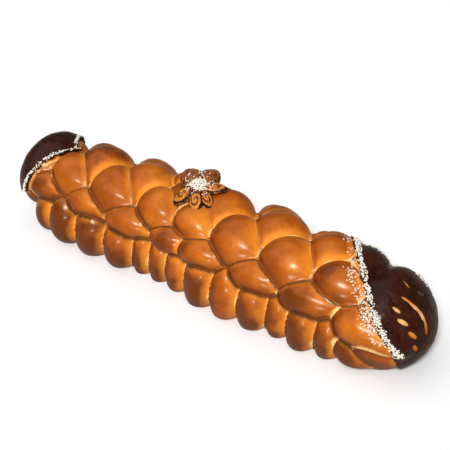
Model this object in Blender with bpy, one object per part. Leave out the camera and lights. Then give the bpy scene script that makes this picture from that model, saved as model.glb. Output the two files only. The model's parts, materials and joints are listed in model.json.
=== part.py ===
"""Braided festive challah: a two-tier plaited loaf with a dark, slit leaf of dough over each end and a rolled-dough
flower with a heap of white seed on top. Metres, +Z up, +X along the loaf towards its plump end, front side at -Y."""

import math
import random
from typing import NamedTuple

import bmesh
import bpy
from mathutils import Matrix, Vector
from mathutils.bvhtree import BVHTree

# Section of the loaf: an ellipse that the backs of the upper swells touch
SECTION_HALF_WIDTH = 0.100
SECTION_HALF_HEIGHT = 0.098
SECTION_HEIGHT = 0.060
WIDEST_AT = 0.10
NARROWING = 0.20
NARROWING_SPAN = 0.43

# The body under the swells, and the egg shape of a swell
CORE_HALF = (0.345, 0.074, 0.078)
CORE_HEIGHT = 0.058
LOBE_TAPER = 0.22
LOBE_DIVISIONS = 3
LOAF_TRIANGLES = 5150

# Lower tier: upright swells side by side
LOWER_AWAY = 0.063
LOWER_HEIGHT = 0.041
LOWER_LEAN = 88
LOWER_TURN = 8
LOWER_SHINGLE = 12
LOWER_HALF = (0.038, 0.056, 0.038)
LOWER_WAIST = 0.8
LOWER_BACK_FIRST = -0.280
LOWER_BACK_PITCH = 0.0495
LOWER_BACK_COUNT = 13

# Leaves of dough over the ends, and the seeds beside their rims: nearest and farthest, count, widest angle
LEAF_GAP = 0.0011
LEAF_THICKNESS = 0.0031
LEAF_FLOOR_GAP = 0.004
RIM_STEPS = 60
RIM_INNER_RADIUS = 0.035
RIM_OUTER_RADIUS = 0.22
BEYOND_END = 0.50
SLIT_DEPTH = 0.012
LEAF_SEED_BAND = (0.004, 0.011)
LEAF_SEED_ANGLE = 100
FALLEN_SEED_BAND = (-0.018, -0.007)
FALLEN_SEED_ANGLE = 90
FALLEN_SEEDS = 14
LOWEST_SEED = 0.02
END_REGION = 0.17

# Flower
FLOWER_CENTRE = (-0.005, -0.006)
FLOWER_TILT = 10
PETAL_RADIUS = 0.024
PETAL_GAP = 0.0011
PETAL_APART = 0.0012
PETAL_FLATNESS = 0.7
PETAL_BELLY = 0.12
RING_SHARE = 0.58
RING_RISE = 0.80
RING_THICKNESS = 0.0015
BEAD_SHARE = 0.22
BEAD_RISE = 0.0022
WEDGE_REACH = 0.12
WEDGE_HEIGHTS = (0.10, 0.30)
HEAP_RADIUS = 0.0160
HEAP_RISE = 0.012
HEAP_SEEDS = 12
HEAP_LIFT = 0.010
HEAP_GAP = 0.0006
SEED_TURN = 0.618

# Seeds, fused where they lie
SEED_HALF = (0.0022, 0.0014, 0.0011)
SEED_SINK = 0.0004

# Finishes: colour, roughness
CRUST = ((0.46, 0.18, 0.04), 0.35)
DARK_DOUGH = ((0.035, 0.012, 0.008), 0.22)
ROLLED_DOUGH = ((0.36, 0.14, 0.035), 0.40)
WHITE_SEED = ((0.86, 0.80, 0.68), 0.55)

HUGE = 2.0


class Row(NamedTuple):
    """One row of strand swells: their places along the loaf, sizes and how deep each is sunk. Lengths in metres;
    angle in degrees from the crown, back side positive."""

    angle: float
    half: tuple
    turn: float
    shingle: float
    places: tuple
    swell: tuple
    sink: tuple


class Lobe(NamedTuple):
    """One egg-shaped swell: its place and axes, its half sizes, and how much it narrows along the strand."""

    frame: Matrix
    half: tuple
    taper: float


class Leaf(NamedTuple):
    """A leaf of dough over one end. Its rim runs from a corner near the ridge back towards the end: the reach
    over the spread in degrees, and past the spread the tuck for each further degree."""

    name: str
    end: int
    corner: float
    corner_angle: float
    reach: float
    spread: float
    power: float
    tuck: float
    ragged: float
    triangles: int
    seeds: int
    slits: tuple


class Petal(NamedTuple):
    """One rolled petal: its direction round the flower in degrees, half sizes, droop in degrees and lift."""

    angle: float
    half: tuple
    droop: float
    lift: float


FRONT_CROWN = Row(
    -35, (0.062, 0.043, 0.038), -10, 12,
    (-0.226, -0.135, -0.046, 0.024, 0.107, 0.199),
    (1.0, 1.12, 0.92, 0.84, 1.08, 1.12),
    (0.0,) * 6,
)
TOP = Row(
    -8, (0.066, 0.048, 0.042), -32, 8,
    (-0.190, -0.096, -0.010, 0.054, 0.156, 0.253),
    (1.10, 1.05, 0.90, 1.06, 1.06, 1.02),
    (0.0,) * 6,
)
BACK_CROWN = Row(
    30, (0.050, 0.042, 0.036), 14, 12,
    (-0.215, -0.112, -0.042, 0.022, 0.132, 0.222),
    (1.0, 1.05, 0.9, 0.85, 0.95, 0.95),
    (0.001, 0.001, 0.001, 0.006, 0.001, 0.010),
)
FRONT_SHOULDER = Row(
    -62, (0.064, 0.030, 0.034), 4, 8,
    (-0.268, -0.172, -0.092, -0.006, 0.056, 0.158, 0.252),
    (0.95, 0.95, 0.95, 0.8, 0.95, 1.0, 1.10),
    (0.0,) * 7,
)
BACK_SHOULDER = Row(
    60, (0.054, 0.036, 0.034), -8, 10,
    (-0.300, -0.222, -0.133, -0.065, 0.002, 0.110, 0.225),
    (0.6, 0.95, 1.0, 0.9, 0.85, 0.95, 1.0),
    (0.012, 0.0, 0.0, 0.0, 0.004, 0.0, 0.003),
)
ROWS = (FRONT_CROWN, TOP, BACK_CROWN, FRONT_SHOULDER, BACK_SHOULDER)

LOWER_FRONT_PLACES = (
    -0.276, -0.230, -0.174, -0.116, -0.074, -0.038, 0.000, 0.050, 0.100, 0.150, 0.194, 0.238, 0.282,
)
LOWER_FRONT_SWELL = (0.92, 1.08, 1.05, 1.0, 0.80, 0.80, 0.84, 1.0, 1.0, 0.98, 0.88, 0.96, 0.9)

# A slit: its centre as two angles round the end knob, its direction, half length and half width
NEAR_LEAF = Leaf(
    "leaf_near", 1, 0.249, 21, 0.140, 106, 1.0, 0.0, 0.0025, 900, 24,
    (
        (-55, 54, -44, 0.0066, 0.0032),
        (-42, 38, -44, 0.0084, 0.0034),
        (-29, 19, -55, 0.0088, 0.0034),
        (-26, 1, -55, 0.0088, 0.0032),
        (-26, 63, -55, 0.0100, 0.0025),
        (-14, 50, -69, 0.0130, 0.0029),
        (-8, 35, -83, 0.0130, 0.0031),
        (-8, 20, -100, 0.0140, 0.0028),
        (26, 79, -124, 0.0062, 0.0026),
        (22, 57, -108, 0.0072, 0.0024),
        (62, 30, -70, 0.0080, 0.0028),
        (74, 8, -70, 0.0080, 0.0028),
    ),
)
FAR_LEAF = Leaf(
    "leaf_far", -1, -0.250, -1, 0.064, 78, 0.50, 0.0022, 0.0035, 650, 10,
    (
        (180, 60, 90, 0.0110, 0.0022),
        (180, 38, 90, 0.0120, 0.0024),
        (180, 16, 90, 0.0120, 0.0022),
        (150, 44, 40, 0.0060, 0.0022),
        (148, 24, 42, 0.0060, 0.0022),
        (-150, 44, -40, 0.0060, 0.0022),
        (-148, 24, -42, 0.0060, 0.0022),
    ),
)

# Petals in order round the flower
PETALS = (
    Petal(-118, (0.0175, 0.0115, 0.0058), 34, 0.004),
    Petal(-67, (0.0170, 0.0105, 0.0058), 34, 0.004),
    Petal(-27, (0.0165, 0.0090, 0.0058), 24, 0.004),
    Petal(21, (0.0180, 0.0105, 0.0065), 8, 0.008),
    Petal(88, (0.0185, 0.0165, 0.0125), 10, 0.012),
    Petal(154, (0.0185, 0.0165, 0.0120), 12, 0.010),
)


def clear_scene():
    """Removes whatever the scene holds."""
    for obj in list(bpy.data.objects):
        bpy.data.objects.remove(obj)


def link_new(name, bm):
    """A mesh object made from a bmesh and linked to the scene."""
    mesh = bpy.data.meshes.new(name)
    bm.to_mesh(mesh)
    bm.free()
    obj = bpy.data.objects.new(name, mesh)
    bpy.context.scene.collection.objects.link(obj)
    return obj


def as_cutter(obj):
    """Marks a helper body as one that is never shown."""
    obj.hide_render = True
    obj.display_type = "WIRE"
    return obj


def apply_modifiers(obj):
    """Writes the object's modifiers into its mesh."""
    bpy.context.view_layer.update()
    graph = bpy.context.evaluated_depsgraph_get()
    mesh = bpy.data.meshes.new_from_object(obj.evaluated_get(graph))
    obj.modifiers.clear()
    obj.data = mesh


def apply_boolean(target, helpers, operation):
    """Joins the helpers to the target, or cuts or keeps with them, applies it and removes the helpers."""
    heap = bpy.data.collections.new("helpers")
    bpy.context.scene.collection.children.link(heap)
    for helper in helpers:
        bpy.context.scene.collection.objects.unlink(helper)
        heap.objects.link(as_cutter(helper))
    step = target.modifiers.new("combine", "BOOLEAN")
    step.operation = operation
    step.operand_type = "COLLECTION"
    step.collection = heap
    step.solver = "MANIFOLD"
    apply_modifiers(target)
    for helper in list(heap.objects):
        bpy.data.objects.remove(helper)
    bpy.data.collections.remove(heap)


def thin_out(obj, triangles):
    """Collapses the smallest facets until about so many triangles are left."""
    count = sum(len(face.vertices) - 2 for face in obj.data.polygons)
    if count > triangles:
        step = obj.modifiers.new("thin", "DECIMATE")
        step.ratio = triangles / count
        apply_modifiers(obj)


def keep_outer_shell(obj):
    """Drops sealed hollows and loose scraps: only the largest shell of facets joined along edges stays."""
    bm = bmesh.new()
    bm.from_mesh(obj.data)
    bm.faces.ensure_lookup_table()
    shells = []
    seen = set()
    for start in bm.faces:
        if start.index in seen:
            continue
        seen.add(start.index)
        shell = [start]
        for face in shell:
            for edge in face.edges:
                for other in edge.link_faces:
                    if other.index not in seen:
                        seen.add(other.index)
                        shell.append(other)
        shells.append(shell)
    largest = max(shells, key=len)
    for shell in shells:
        if shell is not largest:
            bmesh.ops.delete(bm, geom=shell, context="FACES")
    bm.to_mesh(obj.data)
    bm.free()


def box(name, low, high):
    """A closed box between two corners."""
    bm = bmesh.new()
    bmesh.ops.create_cube(bm, size=1.0)
    for vert in bm.verts:
        vert.co = Vector([low[i] if vert.co[i] < 0 else high[i] for i in range(3)])
    return link_new(name, bm)


def egg(name, lobe, extra=0.0, divisions=LOBE_DIVISIONS):
    """A swell as a closed body, grown all round by the extra length."""
    bm = bmesh.new()
    bmesh.ops.create_icosphere(bm, subdivisions=divisions, radius=1.0)
    half = [size + extra for size in lobe.half]
    for vert in bm.verts:
        u, a, w = vert.co
        narrow = 1.0 - lobe.taper * u
        vert.co = lobe.frame @ Vector((half[0] * u, half[1] * a * narrow, half[2] * w * narrow))
    return link_new(name, bm)


def strand_frame(point, out, turn, shingle):
    """Axes of a swell: along the strand, across it, and out of the loaf; the leading end dives inwards."""
    turn = math.radians(turn)
    shingle = math.radians(shingle)
    ahead = Vector((1.0, 0.0, 0.0))
    sideways = Vector((0.0, out.z, -out.y))
    along = ahead * math.cos(turn) + sideways * math.sin(turn)
    across = sideways * math.cos(turn) - ahead * math.sin(turn)
    tilted = along * math.cos(shingle) - out * math.sin(shingle)
    raised = out * math.cos(shingle) + along * math.sin(shingle)
    frame = Matrix((tilted, across, raised)).transposed().to_4x4()
    frame.translation = point
    return frame


def girth(x):
    """Share of the full section at a place along the loaf."""
    return 1.0 - NARROWING * ((x - WIDEST_AT) / NARROWING_SPAN) ** 2


def upper_lobe(row, x, swell, sink=0.0):
    """One swell of the upper braid, its back touching the section."""
    t = math.radians(row.angle)
    half = tuple(size * swell for size in row.half)
    out = Vector((0.0, math.sin(t) / SECTION_HALF_WIDTH, math.cos(t) / SECTION_HALF_HEIGHT)).normalized()
    scale = girth(x)
    skin = Vector((
        x,
        scale * SECTION_HALF_WIDTH * math.sin(t),
        SECTION_HEIGHT + scale * SECTION_HALF_HEIGHT * math.cos(t),
    ))
    frame = strand_frame(skin - out * (half[2] + sink), out, row.turn, row.shingle)
    return Lobe(frame, half, LOBE_TAPER)


def side_lobe(side, x, away, height, lean, turn, shingle, half):
    """A swell set by its distance from the middle plane, its height and its lean."""
    lean = math.radians(lean)
    out = Vector((0.0, side * math.sin(lean), math.cos(lean)))
    frame = strand_frame(Vector((x, side * away, height)), out, turn * side, shingle)
    return Lobe(frame, half, LOBE_TAPER)


def lower_lobe(side, x, swell):
    """One upright swell of the lower tier."""
    scale = girth(x)
    out = scale * (1.0 - LOWER_WAIST * (1.0 - swell))
    half = (LOWER_HALF[0] * swell, LOWER_HALF[1] * scale, LOWER_HALF[2] * out)
    return side_lobe(side, x, LOWER_AWAY * out, LOWER_HEIGHT, LOWER_LEAN, LOWER_TURN, LOWER_SHINGLE, half)


def near_end_lobes():
    """The last swells of the front, the fold under the leaf and the plump end knob."""
    return [
        upper_lobe(FRONT_CROWN._replace(angle=-29, turn=4), 0.284, 0.94),
        side_lobe(-1, 0.338, 0.053, 0.070, 58, 7, 6, (0.066, 0.036, 0.040)),
        side_lobe(-1, 0.326, 0.055, 0.033, 88, 4, 4, (0.048, 0.036, 0.034)),
        side_lobe(1, 0.290, 0.0, 0.100, 0, 0, 8, (0.046, 0.060, 0.048)),
        side_lobe(-1, 0.353, 0.006, 0.060, 0, 0, 0, (0.061, 0.080, 0.076)),
    ]


def far_end_lobe():
    """The blunt far end."""
    return side_lobe(1, -0.299, -0.003, 0.077, 0, 0, 0, (0.056, 0.071, 0.061))


def core_lobe():
    """The body under the swells."""
    return Lobe(Matrix.Translation((0.0, 0.0, CORE_HEIGHT)), CORE_HALF, 0.0)


def all_lobes():
    """Every swell of the loaf, the body under them last."""
    lobes = [upper_lobe(row, *place) for row in ROWS for place in zip(row.places, row.swell, row.sink)]
    lobes += [lower_lobe(-1, x, swell) for x, swell in zip(LOWER_FRONT_PLACES, LOWER_FRONT_SWELL)]
    lobes += [lower_lobe(1, LOWER_BACK_FIRST + i * LOWER_BACK_PITCH, 1.0) for i in range(LOWER_BACK_COUNT)]
    return lobes + near_end_lobes() + [far_end_lobe(), core_lobe()]


def union_of(name, lobes, extra=0.0):
    """One closed body from many swells, each grown by the extra length."""
    first = egg(name, lobes[-1], extra)
    apply_boolean(first, [egg("swell", lobe, extra) for lobe in lobes[:-1]], "UNION")
    return first


def cut_floor(obj, height):
    """Cuts away whatever lies under a height."""
    apply_boolean(obj, [box("floor", (-HUGE, -HUGE, -HUGE), (HUGE, HUGE, height))], "DIFFERENCE")


def seed_body(point, normal, heading):
    """One small seed lying on a surface, its long side along the heading."""
    side = normal.cross(heading).normalized()
    along = side.cross(normal)
    frame = Matrix((along, side, normal)).transposed().to_4x4()
    frame.translation = point + normal * (SEED_HALF[2] - SEED_SINK)
    return egg("seed", Lobe(frame, SEED_HALF, 0.0), 0.0, 1)


def surface_at(tree, x, angle):
    """Where the surface lies at a place along the loaf and an angle round it, with its normal."""
    t = math.radians(angle)
    outward = Vector((0.0, math.sin(t), math.cos(t)))
    start = Vector((x, 0.0, SECTION_HEIGHT)) + outward * RIM_OUTER_RADIUS
    point, normal, _, _ = tree.ray_cast(start, -outward)
    return point, normal


def surface_tree(obj):
    """Search tree over the object's facets."""
    corners = [vert.co for vert in obj.data.vertices]
    return BVHTree.FromPolygons(corners, [tuple(face.vertices) for face in obj.data.polygons])


def rim_x(leaf, angle):
    """Where the leaf's rim crosses an angle round the loaf."""
    off = abs((angle - leaf.corner_angle + 180.0) % 360.0 - 180.0)
    along = leaf.reach * min(off / leaf.spread, 1.0) ** leaf.power
    return leaf.corner + leaf.end * (along + leaf.tuck * max(off - leaf.spread, 0.0))


def scatter(rng, obj, leaf, count, band, limit):
    """Seeds beside a leaf's rim, within a band of distances from it measured towards the end."""
    tree = surface_tree(obj)
    seeds = []
    for _ in range(count):
        angle = leaf.corner_angle + rng.uniform(-limit, limit)
        point, normal = surface_at(tree, rim_x(leaf, angle) + leaf.end * rng.uniform(*band), angle)
        turn = rng.uniform(0.0, math.pi)
        if point is not None and point.z > LOWEST_SEED:
            seeds.append(seed_body(point, normal, Vector((math.cos(turn), math.sin(turn), 0.3))))
    return seeds


def sleeve(leaf, rng):
    """The space that the leaf may fill: everything beyond its ragged rim."""
    bm = bmesh.new()
    rings = [[], [], []]
    for i in range(RIM_STEPS):
        angle = 360.0 * i / RIM_STEPS - 180.0
        edge = rim_x(leaf, angle) + leaf.ragged * rng.uniform(-1.0, 1.0)
        y = math.sin(math.radians(angle))
        z = math.cos(math.radians(angle))
        sizes = ((edge, RIM_INNER_RADIUS), (edge, RIM_OUTER_RADIUS), (leaf.end * BEYOND_END, RIM_OUTER_RADIUS))
        for ring, (x, r) in zip(rings, sizes):
            ring.append(bm.verts.new((x, r * y, SECTION_HEIGHT + r * z)))
    hub = bm.verts.new((rim_x(leaf, leaf.corner_angle + 180.0), 0.0, SECTION_HEIGHT))
    back = bm.verts.new((leaf.end * BEYOND_END, 0.0, SECTION_HEIGHT))
    for i in range(RIM_STEPS):
        j = (i + 1) % RIM_STEPS
        bm.faces.new((hub, rings[0][j], rings[0][i]))
        bm.faces.new((rings[0][i], rings[0][j], rings[1][j], rings[1][i]))
        bm.faces.new((rings[1][i], rings[1][j], rings[2][j], rings[2][i]))
        bm.faces.new((back, rings[2][i], rings[2][j]))
    bmesh.ops.recalc_face_normals(bm, faces=bm.faces[:])
    return link_new("sleeve", bm)


def slit_cutter(knob, azimuth, height, direction, half_length, half_width):
    """A lens-shaped cutter standing through the leaf, placed by angles round the end knob."""
    azimuth = math.radians(azimuth)
    height = math.radians(height)
    unit = Vector((
        math.cos(azimuth) * math.cos(height),
        math.sin(azimuth) * math.cos(height),
        math.sin(height),
    ))
    point = Vector([knob.frame.translation[i] + knob.half[i] * unit[i] for i in range(3)])
    normal = Vector([unit[i] / knob.half[i] for i in range(3)]).normalized()
    level = Vector((0.0, 0.0, 1.0)).cross(normal).normalized()
    rising = normal.cross(level)
    turn = math.radians(direction)
    along = level * math.cos(turn) + rising * math.sin(turn)
    frame = Matrix((along, normal.cross(along), normal)).transposed().to_4x4()
    frame.translation = point
    return egg("slit", Lobe(frame, (half_length, half_width, SLIT_DEPTH), 0.0), 0.0, 2)


def grown(loaf, gap):
    """The loaf grown all round by a gap, as a body to cut with."""
    bm = bmesh.new()
    bm.from_mesh(loaf.data)
    bm.normal_update()
    moves = [vert.normal * gap for vert in bm.verts]
    for vert, move in zip(bm.verts, moves):
        vert.co += move
    return link_new("grown", bm)


def end_leaf(leaf, knob, lobes, loaf, rng):
    """The leaf over one end: a sheet that follows the swells, with a ragged rim, slits and seeds."""
    at_end = [lobe for lobe in lobes if lobe.frame.translation.x * leaf.end > END_REGION] + [lobes[-1]]
    sheet = union_of(leaf.name, at_end, LEAF_GAP + LEAF_THICKNESS)
    keep_outer_shell(sheet)
    thin_out(sheet, leaf.triangles)
    apply_boolean(sheet, [sleeve(leaf, rng)], "INTERSECT")
    cut_floor(sheet, LEAF_FLOOR_GAP)
    apply_boolean(sheet, [slit_cutter(knob, *slit) for slit in leaf.slits], "DIFFERENCE")
    apply_boolean(sheet, scatter(rng, sheet, leaf, leaf.seeds, LEAF_SEED_BAND, LEAF_SEED_ANGLE), "UNION")
    apply_boolean(sheet, [grown(loaf, LEAF_GAP)], "DIFFERENCE")
    keep_outer_shell(sheet)
    return sheet


def flower_point():
    """The flower's centre on the crown of the loaf."""
    t = math.radians(FLOWER_TILT)
    return Vector((
        FLOWER_CENTRE[0],
        FLOWER_CENTRE[1],
        SECTION_HEIGHT + girth(FLOWER_CENTRE[0]) * SECTION_HALF_HEIGHT * math.cos(t),
    ))


def petal_frame(petal):
    """Where a petal lies on the crown: its long side points away from the flower's centre."""
    t = math.radians(petal.angle)
    droop = math.radians(petal.droop)
    tilt = math.radians(FLOWER_TILT)
    up = Vector((0.0, -math.sin(tilt), math.cos(tilt)))
    back = Vector((0.0, math.cos(tilt), math.sin(tilt)))
    outward = Vector((1.0, 0.0, 0.0)) * math.cos(t) + back * math.sin(t)
    along = outward * math.cos(droop) - up * math.sin(droop)
    raised = up * math.cos(droop) + outward * math.sin(droop)
    frame = Matrix((along, raised.cross(along), raised)).transposed().to_4x4()
    frame.translation = flower_point() + outward * PETAL_RADIUS + up * petal.lift
    return frame


def ring_body(frame, half, thickness, steps=9, round_steps=3):
    """A raised ring on a petal's face."""
    bm = bmesh.new()
    loops = []
    for i in range(steps):
        t = math.tau * i / steps
        away = Vector((math.cos(t), math.sin(t), 0.0))
        centre = Vector((half[0] * RING_SHARE * away.x, half[1] * RING_SHARE * away.y, half[2] * RING_RISE))
        loop = []
        for k in range(round_steps):
            s = math.tau * k / round_steps
            offset = away * math.cos(s) + Vector((0.0, 0.0, 1.0)) * math.sin(s)
            loop.append(bm.verts.new(frame @ (centre + offset * thickness)))
        loops.append(loop)
    for i in range(steps):
        a = loops[i]
        b = loops[(i + 1) % steps]
        for k in range(round_steps):
            n = (k + 1) % round_steps
            bm.faces.new((a[k], b[k], b[n], a[n]))
    bmesh.ops.recalc_face_normals(bm, faces=bm.faces[:])
    return link_new("ring", bm)


def pad_body(name, frame, half):
    """The flat oval roll of a petal."""
    bm = bmesh.new()
    bmesh.ops.create_uvsphere(bm, u_segments=10, v_segments=6, radius=1.0)
    for vert in bm.verts:
        x, y, z = vert.co
        rise = math.copysign(abs(z) ** PETAL_FLATNESS, z)
        spread = 1.0 + PETAL_BELLY * (1.0 - abs(z))
        vert.co = frame @ Vector((half[0] * x * spread, half[1] * y * spread, half[2] * rise))
    return link_new(name, bm)


def wedge(number):
    """The sector of the flower that one petal may fill, a little short of its neighbours."""
    count = len(PETALS)
    own = PETALS[number].angle
    before = PETALS[number - 1].angle - (360 if number == 0 else 0)
    after = PETALS[(number + 1) % count].angle + (360 if number == count - 1 else 0)
    middle = math.radians(own)
    start = Vector((FLOWER_CENTRE[0], FLOWER_CENTRE[1], 0.0))
    start += Vector((math.cos(middle), math.sin(middle), 0.0)) * PETAL_APART
    corners = [start]
    for t in (math.radians((before + own) / 2), middle, math.radians((own + after) / 2)):
        corners.append(start + Vector((math.cos(t), math.sin(t), 0.0)) * WEDGE_REACH)
    bm = bmesh.new()
    low = [bm.verts.new((corner.x, corner.y, WEDGE_HEIGHTS[0])) for corner in corners]
    high = [bm.verts.new((corner.x, corner.y, WEDGE_HEIGHTS[1])) for corner in corners]
    bm.faces.new(low[::-1])
    bm.faces.new(high)
    for i in range(4):
        j = (i + 1) % 4
        bm.faces.new((low[i], low[j], high[j], high[i]))
    bmesh.ops.recalc_face_normals(bm, faces=bm.faces[:])
    return link_new("wedge", bm)


def flower_petal(number, under):
    """A rolled petal with a raised ring and a bead, resting on the crust."""
    petal = PETALS[number]
    frame = petal_frame(petal)
    body = pad_body(f"petal_{number + 1}", frame, petal.half)
    bead_frame = frame @ Matrix.Translation((0.0, 0.0, petal.half[2] * RING_RISE))
    bead_half = (petal.half[0] * BEAD_SHARE, petal.half[1] * BEAD_SHARE, BEAD_RISE)
    bead = egg("bead", Lobe(bead_frame, bead_half, 0.0), 0.0, 1)
    apply_boolean(body, [ring_body(frame, petal.half, RING_THICKNESS), bead], "UNION")
    apply_boolean(body, [wedge(number)], "INTERSECT")
    apply_boolean(body, [under], "DIFFERENCE")
    keep_outer_shell(body)
    return body


def seed_heap(rng, crust, petals):
    """The heap of white seed in the middle of the flower, cut where crust and petals carry it."""
    centre = flower_point() + Vector((0.0, 0.0, HEAP_LIFT))
    heap = egg("flower_heap", Lobe(Matrix.Translation(centre), (HEAP_RADIUS, HEAP_RADIUS, HEAP_RISE), 0.0), 0.0, 2)
    tree = surface_tree(heap)
    seeds = []
    for i in range(HEAP_SEEDS):
        t = math.tau * i * SEED_TURN
        flat = HEAP_RADIUS * 0.80 * math.sqrt((i + 0.5) / HEAP_SEEDS)
        start = centre + Vector((flat * math.cos(t), flat * math.sin(t), 0.05))
        point, normal, _, _ = tree.ray_cast(start, Vector((0.0, 0.0, -1.0)))
        turn = rng.uniform(0.0, math.pi)
        seeds.append(seed_body(point, normal, Vector((math.cos(turn), math.sin(turn), 0.2))))
    apply_boolean(heap, seeds, "UNION")
    apply_boolean(heap, petals + [crust], "DIFFERENCE")
    keep_outer_shell(heap)
    return heap


def dress(obj, finish):
    """Gives the object its own material and smooth shading."""
    colour, roughness = finish
    material = bpy.data.materials.new(obj.name)
    material.use_nodes = True
    shader = material.node_tree.nodes["Principled BSDF"]
    shader.inputs["Base Color"].default_value = (*colour, 1.0)
    shader.inputs["Roughness"].default_value = roughness
    shader.inputs["Metallic"].default_value = 0.0
    obj.data.materials.clear()
    obj.data.materials.append(material)
    obj.data.shade_smooth()
    obj.data.set_sharp_from_angle(angle=math.radians(40))
    obj.data.name = obj.name


def move_origin(obj, point):
    """Puts the object's origin at a point without moving its surface."""
    obj.data.transform(Matrix.Translation(-Vector(point)))
    obj.location = point


def build_loaf(lobes, rng):
    """The plaited loaf, flat underneath, with the seeds that fell beside the near leaf."""
    loaf = union_of("loaf", lobes)
    keep_outer_shell(loaf)
    thin_out(loaf, LOAF_TRIANGLES)
    cut_floor(loaf, 0.0)
    fallen = scatter(rng, loaf, NEAR_LEAF, FALLEN_SEEDS, FALLEN_SEED_BAND, FALLEN_SEED_ANGLE)
    apply_boolean(loaf, fallen, "UNION")
    keep_outer_shell(loaf)
    dress(loaf, CRUST)
    return loaf


def build_leaves(lobes, loaf, rng):
    """The dark leaves over the two ends."""
    for leaf, knob in ((NEAR_LEAF, near_end_lobes()[-1]), (FAR_LEAF, far_end_lobe())):
        sheet = end_leaf(leaf, knob, lobes, loaf, rng)
        dress(sheet, DARK_DOUGH)
        move_origin(sheet, (leaf.corner, 0.0, SECTION_HEIGHT))


def build_flower(loaf, rng):
    """Six rolled petals round a heap of white seed."""
    around = []
    for number, petal in enumerate(PETALS):
        body = flower_petal(number, grown(loaf, PETAL_GAP))
        dress(body, ROLLED_DOUGH)
        move_origin(body, petal_frame(petal).translation)
        around.append(pad_body("around", petal_frame(petal), [size + HEAP_GAP for size in petal.half]))
        around.append(ring_body(petal_frame(petal), petal.half, RING_THICKNESS + HEAP_GAP))
    heap = seed_heap(rng, grown(loaf, PETAL_GAP), around)
    dress(heap, WHITE_SEED)
    move_origin(heap, flower_point())


def main():
    """Builds every node of the bread."""
    clear_scene()
    rng = random.Random(2)
    lobes = all_lobes()
    loaf = build_loaf(lobes, rng)
    build_leaves(lobes, loaf, rng)
    build_flower(loaf, rng)


main()
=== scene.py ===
"""Braided festive challah, dressed: an egg-washed crust with pale stretched creases, dark slit leaves of
dough over both ends, white seed along their rims, and a rolled-dough flower on the crown.

Lengths in metres and angles in degrees. +Z is up, +X to the plump end, -Y to the side in the photograph.
"""

import json
import logging
import random
import sys
from dataclasses import dataclass
from enum import Enum
from math import cos, radians, sin, sqrt, tan, tau

import bpy
import numpy as np
from mathutils import Matrix, Vector
from mathutils.bvhtree import BVHTree

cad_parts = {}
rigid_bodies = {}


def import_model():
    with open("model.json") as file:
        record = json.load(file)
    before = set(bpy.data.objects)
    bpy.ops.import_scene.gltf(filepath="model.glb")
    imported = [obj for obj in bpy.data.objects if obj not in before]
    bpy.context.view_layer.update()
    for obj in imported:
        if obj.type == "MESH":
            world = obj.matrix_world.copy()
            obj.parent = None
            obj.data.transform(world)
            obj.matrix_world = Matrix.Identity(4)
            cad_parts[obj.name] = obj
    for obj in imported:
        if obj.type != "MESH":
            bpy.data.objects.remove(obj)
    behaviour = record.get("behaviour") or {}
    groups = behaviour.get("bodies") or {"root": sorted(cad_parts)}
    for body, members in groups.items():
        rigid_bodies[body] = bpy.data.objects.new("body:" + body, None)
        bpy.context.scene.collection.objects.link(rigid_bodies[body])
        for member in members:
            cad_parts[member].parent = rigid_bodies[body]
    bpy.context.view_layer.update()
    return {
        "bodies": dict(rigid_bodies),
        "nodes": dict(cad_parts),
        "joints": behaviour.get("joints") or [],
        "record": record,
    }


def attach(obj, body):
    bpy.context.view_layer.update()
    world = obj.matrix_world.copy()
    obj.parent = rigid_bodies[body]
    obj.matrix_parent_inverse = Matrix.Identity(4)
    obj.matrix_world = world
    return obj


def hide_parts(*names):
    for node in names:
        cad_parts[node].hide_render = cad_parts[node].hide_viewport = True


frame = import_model()

Array = np.ndarray
Obj = bpy.types.Object
Pair = tuple[float, float]
Triple = tuple[float, float, float]

LOG = logging.getLogger("challah")
BODY = "root"
MM = 1000.0

# Section of the loaf that the backs of the upper swells touch, and how it narrows towards the ends
SECTION_HALF_WIDTH = 0.1
SECTION_HALF_HEIGHT = 0.098
SECTION_HEIGHT = 0.06
WIDEST_AT = 0.1
NARROWING = 0.2
NARROWING_SPAN = 0.43


class Tier(Enum):
    """Where a swell lies in the plait; the value is how far over its neighbours, in metres of braid."""

    FRONT_CROWN = 0.03
    TOP = 0.0
    BACK_CROWN = -0.03
    FRONT_SHOULDER = -0.05
    BACK_SHOULDER = -0.06
    LOWER = -0.12
    END = 0.004
    CORE = -1.0


@dataclass(frozen=True)
class Swell:
    """One egg-shaped swell of a strand: its tier, centre, axes as rows, half sizes and narrowing."""

    tier: Tier
    centre: Array
    axes: Array
    half: Array
    taper: float = 0.22

    def place(self, unit: Array, extra: float) -> Array:
        """Puts points of a ball of radius 1 on the swell, grown all round by an extra length."""
        local = unit * (self.half + extra)
        local[:, 1:] *= 1.0 - self.taper * unit[:, :1]
        return local @ self.axes + self.centre

    def local(self, points: Array) -> Array:
        """Returns the points along, across and out of the swell, in metres."""
        return (points - self.centre) @ self.axes.T

    def distance(self, points: Array) -> tuple[Array, Array]:
        """Measures how far points lie outside the swell.

        Args:
            points: places, one a row.

        Returns:
            The distance of each, negative inside, and the outward direction there.
        """
        u, a, w = (self.local(points) / self.half).T
        narrow = np.clip(1.0 - self.taper * u, 0.4, 2.0)
        a = a / narrow
        w = w / narrow
        radius = np.sqrt(u * u + a * a + w * w) + 1e-9
        side = (a * a + w * w) * self.taper / narrow
        _, broad, deep = self.half
        slope = np.stack([(u + side) / self.half[0], a / (broad * narrow), w / (deep * narrow)], 1)
        slope /= radius[:, None]
        steep = np.linalg.norm(slope, axis=1) + 1e-9
        return (radius - 1.0) / steep, (slope / steep[:, None]) @ self.axes


def girth(x: float) -> float:
    """Returns the share of the full section at a place along the loaf."""
    return 1.0 - NARROWING * ((x - WIDEST_AT) / NARROWING_SPAN) ** 2


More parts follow.
